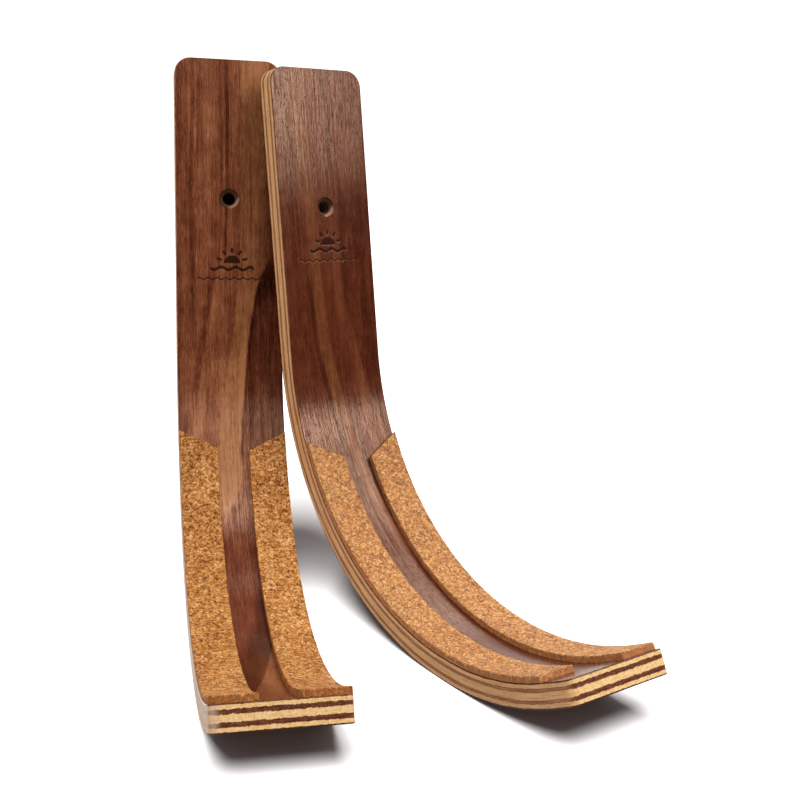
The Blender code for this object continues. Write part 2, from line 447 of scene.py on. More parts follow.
class Graph:
    """A material's node tree, with one short method for each kind of node that is used."""

    def __init__(self, name):
        self.material = bpy.data.materials.new(name)
        self.material.use_nodes = True
        self.tree = self.material.node_tree
        self.shader = self.tree.nodes["Principled BSDF"]

    def node(self, kind, inputs=(), **settings):
        made = self.tree.nodes.new(kind)
        for setting, value in settings.items():
            setattr(made, setting, value)
        for socket, value in dict(inputs).items():
            self.put(made.inputs[socket], value)
        return made

    def put(self, socket, value):
        if isinstance(value, bpy.types.NodeSocket):
            self.tree.links.new(value, socket)
        elif socket.type == "RGBA" and len(value) == 3:
            socket.default_value = (*value, 1.0)
        else:
            socket.default_value = value

    def set(self, **values):
        for name, value in values.items():
            self.put(self.shader.inputs[name.replace("_", " ")], value)

    def attribute(self, name):
        node = self.node("ShaderNodeAttribute", attribute_name=name)
        return node.outputs["Vector"] if name == "strip_mm" else node.outputs["Fac"]

    def split(self, vector):
        return self.node("ShaderNodeSeparateXYZ", {0: vector}).outputs

    def math(self, operation, a, b=0.0, clamp=False):
        inputs = {0: a, 1: b}
        return self.node("ShaderNodeMath", inputs, operation=operation, use_clamp=clamp).outputs[0]

    def add(self, *values):
        total = values[0]
        for value in values[1:]:
            total = self.math("ADD", total, value)
        return total

    def times(self, a, b):
        return self.math("MULTIPLY", a, b)

    def vector(self, vector, scale, shift=(0.0, 0.0, 0.0)):
        scaled = self.node("ShaderNodeVectorMath", {0: vector, 1: scale}, operation="MULTIPLY")
        return self.node("ShaderNodeVectorMath", {0: scaled.outputs[0], 1: shift}, operation="ADD").outputs[0]

    def noise(self, vector, detail=2.0, rough=0.5, distortion=0.0):
        inputs = {"Vector": vector, "Scale": 1.0, "Detail": detail, "Roughness": rough}
        inputs["Distortion"] = distortion
        return self.node("ShaderNodeTexNoise", inputs).outputs["Fac"]

    def cells(self, vector, output="Color", feature="F1"):
        inputs = {"Vector": vector, "Scale": 1.0, "Randomness": 1.0}
        return self.node("ShaderNodeTexVoronoi", inputs, feature=feature).outputs[output]

    def ease(self, value, low, high, at_low=0.0, at_high=1.0):
        """Smoothly from at_low to at_high as value goes from low to high."""
        inputs = {"Value": value, "From Min": low, "From Max": high, "To Min": at_low, "To Max": at_high}
        return self.node("ShaderNodeMapRange", inputs, interpolation_type="SMOOTHSTEP").outputs[0]

    def ramp(self, value, stops):
        node = self.node("ShaderNodeValToRGB", {0: value})
        elements = node.color_ramp.elements
        while len(elements) < len(stops):
            elements.new(0.5)
        for element, (place, colour) in zip(elements, stops):
            element.position = place
            element.color = (*colour, 1.0)
        return node.outputs[0]

    def mix(self, share, a, b):
        """The colour a where share is 0, and b where it is 1."""
        node = self.node("ShaderNodeMix", data_type="RGBA")
        for index, value in ((0, share), (6, a), (7, b)):
            self.put(node.inputs[index], value)
        return node.outputs[2]

    def around_half(self, value):
        """Noise moved so that it swings about 0."""
        return self.math("SUBTRACT", value, 0.5)

    def path(self, along, points, span=100.0):
        """A smooth line through (along, value) points, with values between -span and span."""
        node = self.node("ShaderNodeFloatCurve", {"Value": self.math("DIVIDE", along, LENGTH)})
        curve = node.mapping.curves[0]
        places = [(place / LENGTH, 0.5 + value / (2 * span)) for place, value in points]
        while len(curve.points) < len(places):
            curve.points.new(0.5, 0.5)
        for point, place in zip(curve.points, places):
            point.location = place
            point.handle_type = "AUTO_CLAMPED"
        node.mapping.update()
        return self.math("MULTIPLY", self.around_half(node.outputs[0]), 2 * span)

    def bump(self, height, distance, strength):
        inputs = {"Height": height, "Distance": distance, "Strength": strength}
        return self.node("ShaderNodeBump", inputs).outputs[0]


# ---------------------------------------------------------------- wood


WALNUT_RED = (
    (0.0, (0.022, 0.0040, 0.0019)),
    (0.25, (0.070, 0.0140, 0.0060)),
    (0.5, (0.150, 0.038, 0.0168)),
    (0.75, (0.270, 0.088, 0.042)),
    (1.0, (0.420, 0.175, 0.092)),
)
WALNUT_GOLD = (
    (0.0, (0.024, 0.005, 0.0016)),
    (0.25, (0.070, 0.019, 0.0055)),
    (0.5, (0.150, 0.051, 0.0170)),
    (0.75, (0.270, 0.102, 0.038)),
    (1.0, (0.420, 0.188, 0.078)),
)
# A veneer's figure, in strip coordinates. An edge is a line that the wood changes at: the points
# (along, across) that it runs through, how soft it is, the stretch of the strip that it lies in,
# and what it adds to the tone and to the gold on its right. A vein is a line with a half width
# and a soft border instead, and adds to the tone along itself. TONES is the tone and the gold of
# the left border, how strong the texture is, and where in the endless texture the veneer is cut.
# A few edges and veins below are painted shade or shadow rather than figure; each of them is marked.
TONES = {
    "left_face": (0.50, 0.10, 0.95, (1.0, 0.0, 0.0)),
    "right_face": (0.365, 0.0, 0.60, (9.0, 3.0, 0.0)),
    "left_back": (0.5, 0.3, 1.0, (5.0, 1.0, 0.0)),
    "right_back": (0.45, 0.2, 0.8, (3.0, 7.0, 0.0)),
}
EDGES = {
    "left_face": (
        (((0, -26.0), (459, -27.0)), 3.5, (-90, 600), 0.13, 0.05),
        (((0, 6.4), (60, 7.0), (115, 6.0)), 0.6, (-90, 122), 0.06, 0.60),
        # Painted shadow of the right hook on the left hook's right side: darker and less gold right of this
        # line.
        (((40, 26.0), (70, 21.5), (125, 17.0)), 4.0, (62, 136), -0.22, -0.4),
        (((105, -6.0), (118, -7.5), (150, -12.5), (200, -20.5), (225, -25.0)), 0.9, (114, 262), 0.16, 0.15),
        (((100, 2.5), (125, 4.0), (160, 0.5), (200, -5.5), (225, -8.5)), 1.2, (126, 266), 0.17, 0.55),
        (
            ((96, 27.0), (117, 20.0), (130, 15.0), (150, 11.3), (185, 7.2), (223, 3.6)),
            0.9, (114, 226), -0.52, -0.75,
        ),
        (((215, 3.6), (236, 5.0), (246, 2.5), (255, -1.5), (268, -6.0)), 1.2, (226, 268), -0.30, -0.5),
        # Painted shade: the whole width is darker from just past the highlight on the bend down to the tip.
        (((268, -40.0), (330, -40.0)), 1.0, (274, 600), -0.14, -0.10),
        (((300, 4.0), (330, 5.0), (352, -2.0), (372, -8.0), (400, -12.0)), 5.0, (318, 600), -0.30, 0.0),
        (((340, 12.0), (358, 9.0), (385, 2.5), (412, -5.0), (430, -9.0)), 0.7, (342, 600), 0.44, 0.30),
    ),
    "right_face": (
        (
            ((0, -18.5), (60, -17.0), (110, -13.5), (150, -11.7), (190, -6.7), (225, -3.0), (270, 3.0)),
            3.0, (-90, 290), 0.15, 0.62,
        ),
        (
            ((0, -6.7), (60, -6.8), (110, -5.8), (150, -4.2), (190, 1.7), (225, 5.5), (270, 9.0)),
            0.9, (-90, 290), -0.14, -0.62,
        ),
        (((95, -1.0), (118, 0.3), (150, 4.5), (190, 10.0)), 1.2, (92, 300), 0.07, 0.2),
        (
            ((0, 9.5), (60, 8.5), (118, 7.5), (150, 13.0), (190, 21.7), (215, 27.0)),
            0.9, (70, 300), -0.13, -0.2,
        ),
    ),
    "left_back": (
        (((0, -9), (160, -5), (300, -12), (459, -8)), 2.0, (-90, 600), 0.14, 0.4),
        (((0, 8), (160, 14), (300, 7), (459, 10)), 1.0, (-90, 600), -0.16, -0.4),
    ),
    "right_back": (
        (((0, -15), (160, -11), (300, -6), (459, -14)), 1.0, (-90, 600), 0.12, 0.3),
        (((0, 2), (160, -1), (300, 8), (459, 3)), 3.0, (-90, 600), -0.12, -0.2),
    ),
}
VEINS = {
    "left_face": (
        (((0, -20.6), (70, -21.4)), 0.5, 1.2, (-90, 74), -0.20),
        (((0, -17.2), (70, -18.0)), 0.3, 0.8, (8, 58), -0.16),
        (((60, -22.5), (120, -20.5), (160, -19.5)), 0.5, 1.6, (66, 150), -0.14),
        (((20, -11.0), (50, -10.5)), 2.4, 3.0, (24, 46), 0.12),
        (((0, -4.6), (60, -4.4), (120, -6.0)), 0.3, 0.9, (2, 118), -0.14),
        (((0, -1.6), (60, -1.0), (120, -2.6)), 0.5, 0.9, (-90, 108), -0.26),
        (((40, 12.6), (100, 12.2)), 0.2, 0.7, (50, 92), -0.12),
        (((0, 15.0), (60, 14.5)), 7.5, 1.5, (-90, 20), 0.26),
        (((0, 13.0), (60, 14.5)), 5.0, 3.0, (20, 48), 0.10),
        (((118, -9.0), (150, -14.0), (200, -22.0)), 0.8, 2.2, (120, 190), -0.16),
        (((130, 16.0), (150, 12.3), (185, 8.2), (223, 4.6)), 0.3, 1.0, (124, 224), -0.14),
        (((246, 6.5), (256, 1.5), (268, -3.0)), 0.3, 1.0, (246, 268), -0.20),
        # Painted shade: the tan band above the bend is darkened, as it is less lit there than lower down.
        (((110, 5.0), (130, 7.0), (160, 2.0), (185, -3.0)), 9.0, 7.0, (116, 168), -0.19),
    ),
    "right_face": (
        (((0, 5.0), (70, 5.6)), 0.5, 1.4, (-90, 66), -0.14),
        (((110, -14.5), (150, -12.6), (190, -7.6), (230, -3.6)), 0.6, 1.6, (122, 236), -0.16),
        (((195, -7.5), (240, -4.0), (275, 1.5)), 0.2, 0.7, (196, 275), -0.26),
        (((190, 4.0), (215, 6.0), (240, 8.5)), 0.25, 0.8, (188, 244), -0.24),
    ),
    "left_back": ((((0, 1), (230, 4), (459, -2)), 0.4, 1.4, (-90, 600), -0.12),),
    "right_back": ((((0, 12), (230, 17), (459, 11)), 0.4, 1.2, (-90, 600), -0.12),),
}
STRETCH_FADE = 9.0

# The walnut's texture. Each layer is noise: its scale across, along and into the strip, its detail,
# roughness and distortion, and how much it adds to the tone.
WALNUT_LAYERS = {
    "broad": ((0.16, 0.008, 0.2), 2.0, 0.5, 0.0, 0.60),
    "blotch": ((0.14, 0.09, 0.2), 3.0, 0.6, 0.0, 0.55),
    "streaks": ((0.85, 0.013, 0.6), 3.0, 0.6, 0.3, 0.50),
    "grain": ((2.0, 0.055, 0.9), 3.0, 0.65, 0.0, 0.85),
    "fleck": ((2.6, 0.25, 1.2), 2.0, 0.6, 0.0, 0.70),
    "fine": ((4.6, 0.16, 2.0), 3.0, 0.7, 0.0, 0.50),
}
PORE_TONE = -0.20
VENEER_EDGE = (0.060, 0.020, 0.009)
SOOT = (0.020, 0.0045, 0.0022)
LACQUER_TINT = (1.0, 0.74, 0.58)
DULL_TINT = (0.42, 0.24, 0.16)
BARE_TINT = (0.05, 0.04, 0.03)
# Painted shade for the screw hole's bore and countersink, and a painted highlight on its lit lower right.
HOLE_PAINTED_SHADE = (0.040, 0.013, 0.007)
HOLE_PAINTED_HIGHLIGHT = (0.38, 0.20, 0.135)


def within(g, along, stretch):
    """1 inside a stretch of the strip, fading out at its two ends."""
    start, end = stretch
    entered = g.ease(along, start - STRETCH_FADE, start + STRETCH_FADE)
    return g.times(entered, g.ease(along, end - STRETCH_FADE, end + STRETCH_FADE, 1.0, 0.0))


def from_hole(g, across, along):
    """How far a place is below the hole's middle, and from its middle."""
    below = g.math("SUBTRACT", along, HOLE_FROM_TOP)
    return below, g.math("SQRT", g.add(g.times(across, across), g.times(below, below)))


def near_hole(g, across, along):
    """Nearly 1 inside the countersink, where the screw hole's painted shade and highlight go."""
    away = from_hole(g, across, along)[1]
    return g.ease(away, COUNTERSINK_RADIUS - 0.5, COUNTERSINK_RADIUS + 0.1, 0.94, 0.0)


def hole_painted_light(g, across, along):
    """Painted light in the screw hole: shade in the bore and countersink, a highlight on its lower right."""
    below, away = from_hole(g, across, along)
    lower_right = g.ease(g.math("ADD", across, below), 3.2, 6.2)
    pale = g.times(lower_right, g.ease(away, HOLE_RADIUS + 0.3, HOLE_RADIUS + 1.0))
    return g.mix(pale, HOLE_PAINTED_SHADE, HOLE_PAINTED_HIGHLIGHT)


def walnut(figure):
    """Satin lacquered walnut veneer: its figure, streaks along the grain, and fine short pores."""
    g = Graph(f"walnut_{figure}")
    strip = g.attribute("strip_mm")
    across, along, _ = g.split(strip)
    tone, gold, strength, shift = TONES[figure]
    drift = g.noise(g.vector(strip, (0.03, 0.008, 0.03), shift), detail=2.0)
    waver = g.noise(g.vector(strip, (0.25, 0.06, 0.2), shift), detail=3.0)
    warped = g.add(across, g.times(drift, 3.0), g.times(waver, 1.8), -2.4)
    for line, soft, stretch, tone_step, gold_step in EDGES[figure]:
        right_of = g.ease(g.math("SUBTRACT", warped, g.path(along, line)), -soft, soft)
        share = g.times(right_of, within(g, along, stretch))
        tone = g.add(g.times(share, tone_step), tone)
        gold = g.add(g.times(share, gold_step), gold)
    for line, half, soft, stretch, tone_step in VEINS[figure]:
        away = g.math("ABSOLUTE", g.math("SUBTRACT", warped, g.path(along, line)))
        share = g.times(g.ease(away, half, half + soft, 1.0, 0.0), within(g, along, stretch))
        tone = g.add(g.times(share, tone_step), tone)
    layers = {}
    parts = []
    for layer, (scale, detail, rough, distortion, amount) in WALNUT_LAYERS.items():
        layers[layer] = g.noise(g.vector(strip, scale, shift), detail, rough, distortion)
        parts.append(g.times(g.around_half(layers[layer]), amount))
    streaks, grain, fleck, fine = (layers[layer] for layer in ("streaks", "grain", "fleck", "fine"))
    pore_share = g.ease(g.noise(g.vector(strip, (2.7, 0.21, 2.0), shift)), 0.60, 0.70)
    texture = g.add(*parts, g.times(pore_share, PORE_TONE))
    tone = g.add(g.times(texture, g.ease(along, 250.0, 350.0, strength, 0.5 * strength)), tone)
    gold = g.add(gold, g.times(g.around_half(streaks), 0.5))
    colour = g.mix(g.math("ADD", gold, 0.0, clamp=True), g.ramp(tone, WALNUT_RED), g.ramp(tone, WALNUT_GOLD))
    at_edge = g.attribute("edge_share")
    colour = g.mix(at_edge, colour, VENEER_EDGE)
    # Painted shade and highlight in the screw hole.
    colour = g.mix(near_hole(g, across, along), colour, hole_painted_light(g, across, along))
    burn = g.attribute("burn")
    soot = g.noise(g.vector(strip, (1.5, 1.0, 1.0)), detail=3.0)
    colour = g.mix(g.times(burn, g.ease(soot, 0.2, 0.7, 0.80, 0.98)), colour, SOOT)
    g.set(Base_Color=colour)
    g.set(Roughness=g.add(g.times(fine, 0.12), g.times(pore_share, 0.10), g.times(burn, 0.5), 0.10))
    relief = g.add(g.times(fine, 0.5), g.times(pore_share, -1.0), g.times(fleck, 0.7), g.times(grain, 0.6))
    g.set(Normal=g.bump(relief, 0.00007, 0.9))
    combed = g.add(g.times(grain, 0.5), g.times(streaks, 0.3), g.times(fleck, 0.2))
    sheen = g.mix(g.ease(combed, 0.44, 0.55), DULL_TINT, LACQUER_TINT)
    sheen = g.mix(g.times(pore_share, 0.7), sheen, DULL_TINT)
    rubbed = g.math("MAXIMUM", burn, near_hole(g, across, along))
    g.set(Specular_IOR_Level=1.0, Specular_Tint=g.mix(rubbed, sheen, BARE_TINT))
    return g.material


# The plies' colours: the light ply on the end faces and on the long sides, then the crossband. A
# crossband looks thicker by CROSSBAND_SMEAR on each side where the end faces were sawn.
PLY_CREAM = (
    (0.0, (0.44, 0.180, 0.060)),
    (0.3, (0.74, 0.415, 0.155)),
    (0.6, (0.90, 0.61, 0.29)),
    (1.0, (0.94, 0.78, 0.52)),
)
PLY_TAN = (
    (0.0, (0.22, 0.076, 0.027)),
    (0.3, (0.54, 0.245, 0.096)),
    (0.6, (0.80, 0.475, 0.23)),
    (1.0, (0.92, 0.70, 0.43)),
)
PLY_CHOCOLATE = (
    (0.0, (0.028, 0.0045, 0.0012)),
    (0.5, (0.090, 0.0165, 0.0040)),
    (1.0, (0.36, 0.110, 0.036)),
)
PLY_BROWN = (
    (0.0, (0.07, 0.021, 0.008)),
    (0.35, (0.27, 0.090, 0.032)),
    (0.6, (0.46, 0.195, 0.080)),
    (1.0, (0.60, 0.33, 0.15)),
)
GLUE_LINE = (0.085, 0.028, 0.012)
CROSSBAND_SMEAR = 0.35
PLY_LINE_SOFT = 0.07
# A pale painted highlight for the light from the left on the left hook's left side and tip corner.
LEFT_PAINTED_HIGHLIGHT = (0.78, 0.60, 0.50)


def wandering(g, strip, boundary, end):
    """How far the line between two plies strays from its nominal depth, in millimetres."""
    slow = g.noise(g.vector(strip, (0.16, 0.12, 0.0), (boundary, 0.0, 0.0)), detail=2.0)
    ragged = g.noise(g.vector(strip, (0.75, 0.5, 0.0), (boundary, 5.0, 0.0)), detail=4.0, rough=0.75)
    swing = g.ease(end, 0.0, 1.0, 0.9, 1.9)
    return g.add(slow, g.times(g.around_half(ragged), swing), -0.5)


def ply(name, dark, front, back):
    """A ply at its sanded edge: streaks along the sheet, and ragged lines where two plies meet.

    The end faces show strong cream and chocolate bands, the long sides a quieter tan and brown. The
    left hook has a pale painted highlight along its left side and at the left corner of its tip, for
    the light from the left.
    """
    g = Graph(name)
    strip = g.attribute("strip_mm")
    end = g.attribute("end_share")
    across, along, depth = g.split(strip)
    side_streaks = g.noise(g.vector(strip, (0.3, 0.045, 3.4)), detail=4.0, rough=0.75)
    side_cuts = g.noise(g.vector(strip, (0.3, 1.6, 0.5), (3.0, 1.0, 0.0)), detail=2.0)
    end_streaks = g.noise(g.vector(strip, (0.30, 0.3, 2.6), (0.0, 7.0, 0.0)), detail=4.0, rough=0.75)
    end_cuts = g.noise(g.vector(strip, (1.6, 0.3, 0.5), (0.0, 7.0, 0.0)), detail=2.0)
    side = g.add(g.times(side_streaks, 1.6), g.times(side_cuts, 0.5), -0.55)
    face = g.add(g.times(end_streaks, 1.5), g.times(end_cuts, 0.7), -0.55)
    value = g.math("ADD", g.times(side, g.math("SUBTRACT", 1.0, end)), g.times(face, end))
    light = g.mix(end, g.ramp(value, PLY_TAN), g.ramp(value, PLY_CREAM))
    deep = g.mix(end, g.ramp(value, PLY_BROWN), g.ramp(value, PLY_CHOCOLATE))
    own, other = (deep, light) if dark else (light, deep)
    wider = -CROSSBAND_SMEAR if dark else CROSSBAND_SMEAR
    front_wider = wider if front > SHEETS[0][1] else 0.0
    back_wider = wider if back < THICKNESS - SHEETS[-1][1] else 0.0
    front_line = g.add(wandering(g, strip, front * 7.0, end), g.times(end, front_wider), front)
    back_line = g.add(wandering(g, strip, back * 7.0, end), g.times(end, -back_wider), back)
    past_front = g.math("SUBTRACT", depth, front_line)
    past_back = g.math("SUBTRACT", depth, back_line)
    before = g.ease(past_front, -PLY_LINE_SOFT, PLY_LINE_SOFT, 1.0, 0.0)
    beyond = g.ease(past_back, -PLY_LINE_SOFT, PLY_LINE_SOFT)
    colour = g.mix(g.math("MAXIMUM", before, beyond), own, other)
    to_line = g.math("MINIMUM", g.math("ABSOLUTE", past_front), g.math("ABSOLUTE", past_back))
    glue = g.ease(to_line, 0.05, 0.22, 0.75, 0.0)
    colour = g.mix(g.times(glue, g.math("SUBTRACT", 1.0, end)), colour, GLUE_LINE)
    # Painted highlight: the left hook's left side and the left corner of its tip are mixed towards pale.
    if name.startswith("left"):
        beside = g.times(g.ease(across, -29.9, -29.2, 1.0, 0.0), g.ease(along, 250.0, 420.0, 0.0, 0.7))
        on_end = g.times(g.ease(across, -29.0, -24.5, 0.75, 0.0), end)
        colour = g.mix(g.math("MAXIMUM", beside, on_end), colour, LEFT_PAINTED_HIGHLIGHT)
    # Painted shade and highlight in the screw hole.
    in_countersink = near_hole(g, across, along)
    colour = g.mix(in_countersink, colour, hole_painted_light(g, across, along))
    g.set(Base_Color=colour)
    g.set(Roughness=g.add(g.times(value, 0.15), g.times(in_countersink, 0.6), 0.34))
    g.set(Normal=g.bump(value, 0.00010, 0.8))
    g.set(Specular_IOR_Level=0.3)
    return g.material


CORK_TONES = (
    (0.0, (0.040, 0.009, 0.0025)),
    (0.16, (0.13, 0.034, 0.007)),
    (0.32, (0.34, 0.108, 0.021)),
    (0.50, (0.54, 0.203, 0.041)),
    (0.72, (0.70, 0.312, 0.080)),
    (1.0, (0.90, 0.58, 0.26)),
)
CORK_BARK = (0.070, 0.016, 0.004)
CORK_SEAM = (0.17, 0.052, 0.013)
CORK_CUT = (0.40, 0.118, 0.028)
# Painted sheen: the right hook's cork is mixed towards this pale colour for the light that it catches.
CORK_PAINTED_SHEEN = (0.80, 0.50, 0.31)
CORK_PAINTED_SHEEN_SHARE = {"left": 0.0, "right": 0.13}


def cork(name, shift, pale):
    """Pressed cork: small angular granules in tan, with pale ones and dark bark between them.

    Its cut sides are darker, and pale says how much of a pale painted sheen is mixed in,
    for the light that the cork catches.
    """
    g = Graph(name)
    strip = g.attribute("strip_mm")
    jitter = g.node("ShaderNodeTexNoise", {"Vector": g.vector(strip, (1.2, 1.2, 1.2), shift), "Detail": 3.0})
    warp = {0: strip, 1: g.vector(jitter.outputs["Color"], (1.8, 1.8, 1.8))}
    warped = g.node("ShaderNodeVectorMath", warp, operation="ADD").outputs[0]
    large_places = g.vector(warped, (0.55, 0.55, 0.6), shift)
    large = g.split(g.cells(large_places))[0]
    small = g.split(g.cells(g.vector(warped, (1.1, 1.1, 1.1), shift)))[0]
    border = g.cells(large_places, "Distance", "DISTANCE_TO_EDGE")
    dust = g.noise(g.vector(strip, (2.2, 2.2, 2.2)), detail=3.0, rough=0.7)
    broad = g.noise(g.vector(strip, (0.05, 0.03, 0.1), shift), detail=2.0)
    value = g.add(g.times(large, 0.36), g.times(small, 0.64), g.times(dust, 1.7), g.times(broad, 0.3), -0.93)
    colour = g.ramp(value, CORK_TONES)
    bark = g.noise(g.vector(strip, (0.95, 0.95, 0.95), (9.0, 4.0, 2.0)), detail=2.0, rough=0.7)
    bark_share = g.ease(bark, 0.60, 0.62, 0.0, 0.95)
    colour = g.mix(bark_share, colour, CORK_BARK)
    seam = g.ease(border, 0.0, 0.09, 0.30, 0.0)
    colour = g.mix(seam, colour, CORK_SEAM)
    cut = g.attribute("cut_share")
    cut_patch = g.ease(g.noise(g.vector(strip, (0.5, 0.5, 0.5), shift), detail=3.0), 0.40, 0.60, 0.85, 0.40)
    colour = g.mix(g.times(cut, cut_patch), colour, CORK_CUT)
    # Painted sheen: a share of a pale colour that stands in for light on the cork.
    colour = g.mix(pale, colour, CORK_PAINTED_SHEEN)
    g.set(Base_Color=colour, Roughness=g.add(g.times(dust, 0.25), 0.40), Specular_IOR_Level=0.18)
    height = g.add(g.times(large, 0.4), g.times(small, 0.4), g.times(dust, 0.5), g.times(seam, -0.8))
    g.set(Normal=g.bump(height, 0.00022, 0.9))
    return g.material


# ---------------------------------------------------------------- pieces


def add_values(obj, name, values):
    held = obj.data.attributes.new(name, "FLOAT", "POINT")
    held.data.foreach_set("value", np.asarray(values, np.float32))


def finish_piece(obj, side, material, node):
    """Gives a piece its material and its body, hides its CAD node, and lets the room's panels light it."""
    obj.data.materials.append(material)
    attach(obj, f"{side}_hook")
    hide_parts(node)
    bpy.data.collections["lit_by_room"].objects.link(obj)


def engrave(slab, side):
    """Sinks the pictogram into the front of a face veneer and gives its cover at each point."""
    strip = np.concatenate(slab.points)
    cover = mark_cover(strip[:, 0] - MARK_ASIDE[side], strip[:, 1], MARK_FROM_TOP[side])
    cover *= strip[:, 2] < 0.01
    strip[:, 2] += MARK_DEPTH * cover
    slab.points = [strip]
    return cover


def add_sheets(side, placement):
    """The seven sheets of one hook, from the front face to the back."""
    depth = 0.0
    for sheet, thickness in SHEETS:
        back = depth + thickness
        name = f"{side}_{sheet}"
        if sheet == "face_veneer":
            horizon = MARK_FROM_TOP[side]
            grid, patch = strip_grid((horizon - MARK_ABOVE, horizon + MARK_BELOW), MARK_REACH)
            slab = sheet_slab(veneer_rings(depth, back, True), grid, patch, RIM_TORN)
            cover = engrave(slab, side)
            material = walnut(f"{side}_face")
        elif sheet == "back_veneer":
            grid, patch = strip_grid(None, PLAIN_REACH)
            slab = sheet_slab(veneer_rings(depth, back, False), grid, patch)
            cover = np.zeros(slab.count)
            material = walnut(f"{side}_back")
        else:
            grid, patch = strip_grid(None, PLAIN_REACH)
            inset = CROSSBAND_RECESS if "crossband" in sheet else 0.0
            slab = sheet_slab([(depth, inset), (back, inset)], grid, patch)
            material = ply(f"{name}_wood", "crossband" in sheet, depth, back)
        obj = slab.object(f"{side}_hook_{sheet}", placement)
        if "veneer" in sheet:
            strip = np.concatenate(slab.points)
            outer = depth if sheet == "face_veneer" else back
            add_values(obj, "burn", cover)
            at_edge = np.clip((abs(strip[:, 2] - outer) - MARK_DEPTH - 0.05) / 0.2, 0.0, 1.0)
            add_values(obj, "edge_share", at_edge * (cover == 0))
        finish_piece(obj, side, material, name)
        depth = back


def cork_grid(side, edge):
    """A cork strip's grid of (across, along) points. The top end is slanted."""
    start, drop, from_tip = CORK_STRIPS[side, edge]
    share = np.linspace(0.0, 1.0, round(CORK_WIDTH / CORK_STEP) + 1)
    rows = np.linspace(0.0, 1.0, round((LENGTH - from_tip - start) / CORK_STEP))
    first = start + drop * share
    along = first + rows[:, None] * (LENGTH - from_tip - first)
    outer = half_width(along, edge)
    inner = WIDTH / 2 - CORK_WIDTH
    across = outer + share * (inner - outer)
    if edge == "left":
        across = -across
    else:
        across, along = across[:, ::-1], along[:, ::-1]
    return np.stack((across, along), axis=2)


def cork_slab(flat, seed):
    """A cork strip over its grid, crumbly on its top and on its cut sides.

    It comes with the share of a cut side at each point.
    """
    outline = outline_of(*flat.shape[:2])
    border = flat[outline[0], outline[1]]
    normals = outward(border)
    slab = Slab()
    top = -CORK_THICKNESS
    # Each ring is a depth and an inset: the top edge is crumbled round, and the side below is straight.
    rings = [(top, 0.3), (top + 0.12, 0.12), (top + 0.4, 0.0)]
    rings += [(depth, 0.0) for depth in np.linspace(top + 0.9, 0.0, 6)]
    loops = []
    for number, (depth, inset) in enumerate(rings):
        places = np.column_stack((border, np.full(len(border), depth)))
        value, near = granules(places, SIDE_GRANULE, seed)
        crumb = SIDE_CRUMB * (value - 0.5) - SIDE_SEAM * np.clip(1 - near / 0.25, 0, 1)
        fade = 1.0 if number else 0.4
        points = border - normals * (inset + 0.08 - crumb * fade)[:, None]
        if number in (0, len(rings) - 1):
            numbers = slab.grid(flat, depth, points, None, 0.0, number == 0)
            loops.append(numbers[outline[0], outline[1]])
        else:
            loops.append(slab.add(points, depth, 1.0))
    for ring, following in zip(loops, loops[1:]):
        slab.wall(ring, following)
    strip = np.concatenate(slab.points)
    on_top = strip[:, 2] < top + 0.05
    value, near = granules(strip, TOP_GRANULE, seed + 1)
    fine, _ = granules(strip, TOP_FINE_GRANULE, seed + 2)
    crumbs = TOP_CRUMB * (value - 0.5) + TOP_FINE_CRUMB * (fine - 0.5)
    relief = crumbs - TOP_SEAM * np.clip(1 - near / 0.2, 0, 1)
    pits = (value > 0.93) * TOP_PIT * np.clip(near / 0.3, 0, 1)
    strip[:, 2] += on_top * (0.16 - relief + pits)
    slab.points = [strip]
    return slab, np.clip((strip[:, 2] - top - 0.35) / 0.5, 0.0, 1.0)


def add_cork(side, placement):
    """The two cork strips of one hook."""
    for seed, edge in enumerate(("left", "right"), start=11 if side == "left" else 31):
        slab, cut = cork_slab(cork_grid(side, edge), seed * 10)
        obj = slab.object(f"{side}_hook_cork_{edge}", placement)
        add_values(obj, "cut_share", cut)
        material = cork(f"cork_{side}_{edge}", (seed * 3.7, seed * 1.9, 0.0), CORK_PAINTED_SHEEN_SHARE[side])
        finish_piece(obj, side, material, f"{side}_cork_strip_{edge}")


# ---------------------------------------------------------------- studio


# The lights overhead are flat panels at one height, turned a little about the vertical. Each is
# (name, left, right, front, back, radiance), in metres along and across that turned direction.
CEILING_HEIGHT = 1.45
CEILING_TURN = math.radians(17.0)
PANEL_COLOUR = (1.0, 0.94, 0.87)
CEILING = (
    ("key", 0.3, 3.6, -2.75, -1.2, 2.7),
    ("key_rear", 0.3, 3.6, -1.2, -0.306, 4.1),
    ("key_left", -3.0, 0.3, -0.70, -0.306, 3.1),
    ("front_left", -3.0, 0.3, -2.75, -0.70, 1.0),
    ("strip_behind", -1.2, 0.8, 0.20, 0.47, 1.0),
    ("right_middle", 0.6, 2.4, -0.306, 0.10, 1.9),
    ("right_behind", 0.8, 2.4, 0.10, 1.7, 2.6),
)
# Panels that face the middle of the hooks: (name, place, size, radiance).
HOOKS_MIDDLE = (0.06, -0.1, -0.05)
SIDE_PANELS = (
    ("left_fill", (-1.5, -0.25, 0.25), (1.0, 1.0), 3.0),
    ("backdrop", (0.3, 1.7, 0.0), (3.2, 2.4), 1.35),
)
# The small panel that the right hook's top reflects: how far below the top edge it aims, in
# millimetres, and the step from there to the panel, its size and its radiance.
TOP_SHEEN_FROM_TOP = 12.0
TOP_SHEEN_STEP = (0.475, -0.458, 0.225)
TOP_SHEEN_SIZE = (0.20, 0.15)
TOP_SHEEN_RADIANCE = 7.2

# The colour of the disc in the left hook's bore, and its distance from the back in millimetres.
HOLE_SHADE = (0.045, 0.018, 0.011)
HOLE_SHADE_FROM_BACK = 1.5

FLOOR_HALF = 3.0
FLOOR_GREY = 0.20
